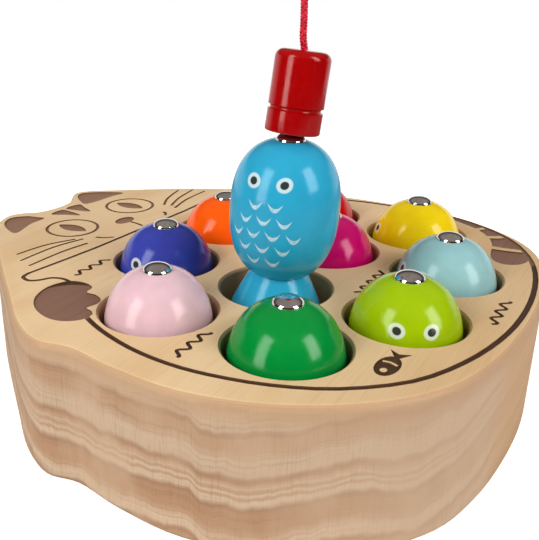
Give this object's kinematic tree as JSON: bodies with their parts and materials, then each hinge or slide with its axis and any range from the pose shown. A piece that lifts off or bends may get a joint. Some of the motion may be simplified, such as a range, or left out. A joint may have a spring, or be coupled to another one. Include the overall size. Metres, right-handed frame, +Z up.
{
  "type": "magnetic fishing game",
  "caption": "Thick wooden cat with blind holes that hold turned wooden fish with steel caps, and a magnet head on a cord that lifts one of them.",
  "frame": {"origin": "middle of the block's outline, at the face on which it stands", "axes": "+Z up out of the holes, +Y towards the cat's ears, +X to the cat's right paw side as drawn"},
  "size_m": [0.197, 0.225, 0.169],
  "materials": {
    "pine": "sanded pale pine with a burnt drawing",
    "pink_lacquer": "glossy pale pink lacquer on turned wood",
    "violet_lacquer": "glossy violet-blue lacquer on turned wood",
    "orange_lacquer": "glossy orange lacquer on turned wood",
    "cyan_lacquer": "glossy sky-blue lacquer on turned wood",
    "magenta_lacquer": "glossy magenta lacquer on turned wood",
    "red_lacquer": "glossy red lacquer on turned wood",
    "green_lacquer": "glossy green lacquer on turned wood",
    "yellow_lacquer": "glossy yellow lacquer on turned wood",
    "lime_lacquer": "glossy lime lacquer on turned wood",
    "pale_blue_lacquer": "glossy pale blue lacquer on turned wood",
    "head_lacquer": "glossy dark red lacquer on turned wood",
    "steel": "polished nickel-plated steel",
    "magnet_steel": "plated disc magnet",
    "red_braid": "tightly braided red cord"
  },
  "bodies": {
    "root": {"cat_block": "pine", "pink_fish": "pink_lacquer", "violet_fish": "violet_lacquer", "orange_fish": "orange_lacquer", "cyan_fish": "cyan_lacquer", "magenta_fish": "magenta_lacquer", "red_fish": "red_lacquer", "green_fish": "green_lacquer", "yellow_fish": "yellow_lacquer", "lime_fish": "lime_lacquer", "pale_blue_fish": "pale_blue_lacquer", "pink_fish_cap": "steel", "violet_fish_cap": "steel", "orange_fish_cap": "steel", "cyan_fish_cap": "steel", "magenta_fish_cap": "steel", "red_fish_cap": "steel", "green_fish_cap": "steel", "yellow_fish_cap": "steel", "lime_fish_cap": "steel", "pale_blue_fish_cap": "steel", "magnet_head": "head_lacquer", "magnet": "magnet_steel", "cord": "red_braid", "cord_knot": "red_braid"}
  },
  "joints": []
}
